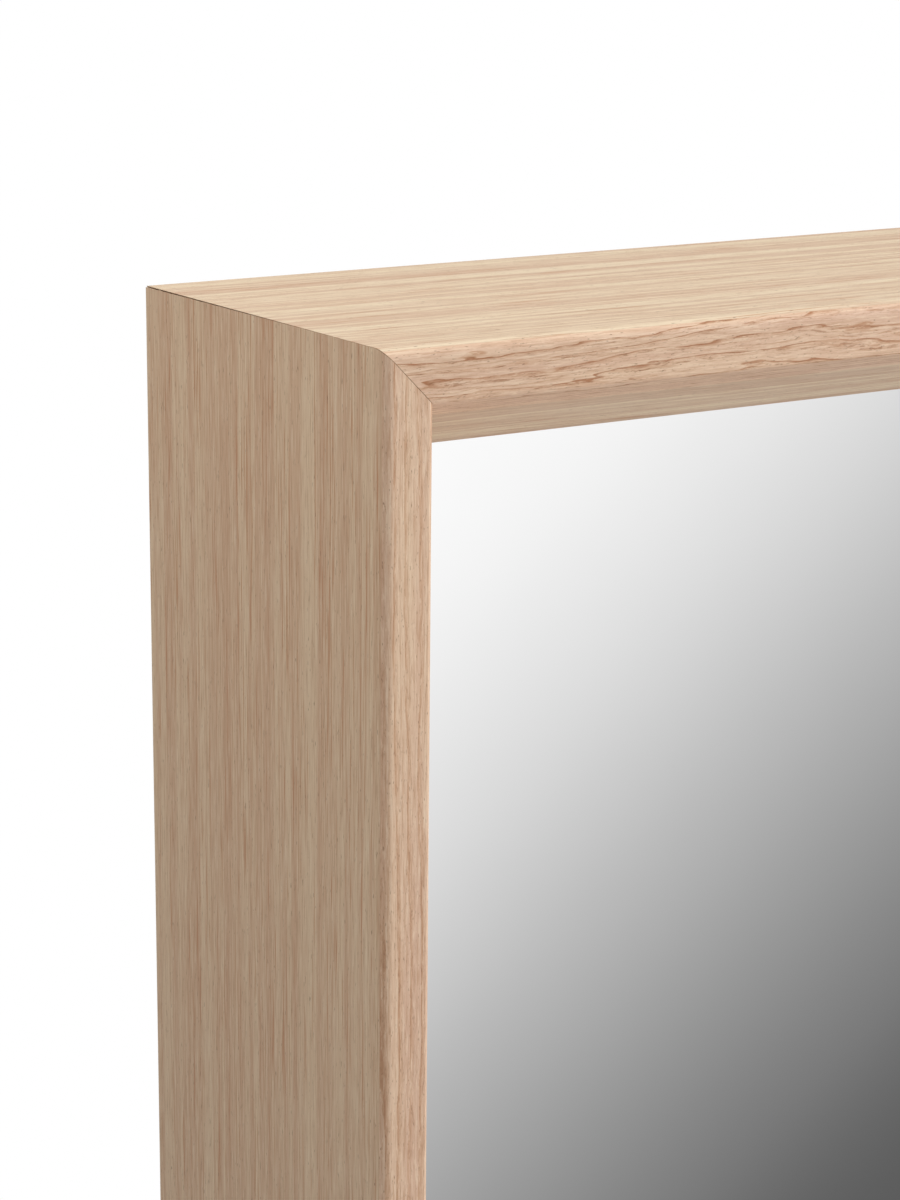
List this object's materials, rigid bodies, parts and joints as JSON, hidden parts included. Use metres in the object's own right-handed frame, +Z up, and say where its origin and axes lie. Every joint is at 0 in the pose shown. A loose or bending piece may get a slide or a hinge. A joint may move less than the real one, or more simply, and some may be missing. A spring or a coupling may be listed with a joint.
{
  "type": "cheval floor mirror",
  "caption": "Full-length mirror in a deep mitred ash box frame with a slanted reveal, tilting between two posts on footed rails and held by turned clamping knobs.",
  "frame": {"origin": "on the floor under the middle of the stand", "axes": "+X to the viewer's right, +Y from the mirror's face to its back, +Z up"},
  "size_m": [0.681, 0.47, 1.69],
  "materials": {
    "ash_veneer": "matt lacquered quarter-cut ash veneer",
    "ash_solid": "matt lacquered flat-sawn ash",
    "ash": "matt lacquered ash",
    "hardboard": "bare brown hardboard",
    "mirror_glass": "silvered float glass, polished edge",
    "foam_tape": "black closed-cell foam tape",
    "zinc_steel": "bright zinc-plated steel",
    "brass": "plain turned brass",
    "leather": "brown sole leather",
    "nylon": "matt brown nylon"
  },
  "bodies": {
    "stand": {"left_post": "ash", "right_post": "ash", "left_foot": "ash", "right_foot": "ash", "stretcher": "ash", "left_pivot_bush": "brass", "right_pivot_bush": "brass", "foot_bolts": "zinc_steel", "foot_barrel_nuts": "zinc_steel", "stretcher_bolts": "zinc_steel", "stretcher_barrel_nuts": "zinc_steel", "stretcher_dowels": "ash", "front_left_glide": "nylon", "front_right_glide": "nylon", "back_left_glide": "nylon", "back_right_glide": "nylon", "left_friction_washer": "leather", "right_friction_washer": "leather"},
    "mirror": {"left_board": "ash_veneer", "right_board": "ash_veneer", "top_board": "ash_veneer", "bottom_board": "ash_veneer", "left_lipping": "ash_solid", "right_lipping": "ash_solid", "top_lipping": "ash_solid", "bottom_lipping": "ash_solid", "left_reveal": "ash_veneer", "right_reveal": "ash_veneer", "top_reveal": "ash_veneer", "bottom_reveal": "ash_veneer", "mitre_splines": "ash", "glazing_tape": "foam_tape", "mirror_plate": "mirror_glass", "back_panel": "hardboard", "left_bead": "ash", "right_bead": "ash", "top_bead": "ash", "bottom_bead": "ash", "bead_screws": "zinc_steel", "brace_top_left": "zinc_steel", "brace_top_right": "zinc_steel", "brace_bottom_left": "zinc_steel", "brace_bottom_right": "zinc_steel", "brace_screws": "zinc_steel", "left_pivot_plate": "zinc_steel", "right_pivot_plate": "zinc_steel", "pivot_plate_screws": "zinc_steel"},
    "left_clamp": {"left_clamp_washer": "zinc_steel"},
    "right_clamp": {"right_clamp_washer": "zinc_steel"},
    "left_knob_turner": {"left_knob": "ash_solid", "left_knob_insert": "brass"},
    "right_knob_turner": {"right_knob": "ash_solid", "right_knob_insert": "brass"}
  },
  "joints": [
    {"name": "mirror_tilt", "type": "hinge", "parent": "stand", "child": "mirror", "pos_m": [0, 0, 0.935], "axis": [1, 0, 0], "continuous": true},
    {"name": "left_clamp_slide", "type": "slide", "parent": "mirror", "child": "left_clamp", "axis": [-1, 0, 0], "range_m": [0, 0.0025]},
    {"name": "right_clamp_slide", "type": "slide", "parent": "mirror", "child": "right_clamp", "axis": [1, 0, 0], "range_m": [0, 0.0025]},
    {"name": "left_knob_turn", "type": "hinge", "parent": "left_clamp", "child": "left_knob_turner", "pos_m": [-0.3105, 0, 0.935], "axis": [-1, 0, 0], "range_deg": [0, 720]},
    {"name": "right_knob_turn", "type": "hinge", "parent": "right_clamp", "child": "right_knob_turner", "pos_m": [0.3105, 0, 0.935], "axis": [1, 0, 0], "range_deg": [0, 720]}
  ],
  "couplings": [
    {"joint": "left_clamp_slide", "follows": "left_knob_turn", "m_per_rad": 0.00019894},
    {"joint": "right_clamp_slide", "follows": "right_knob_turn", "m_per_rad": 0.00019894}
  ]
}
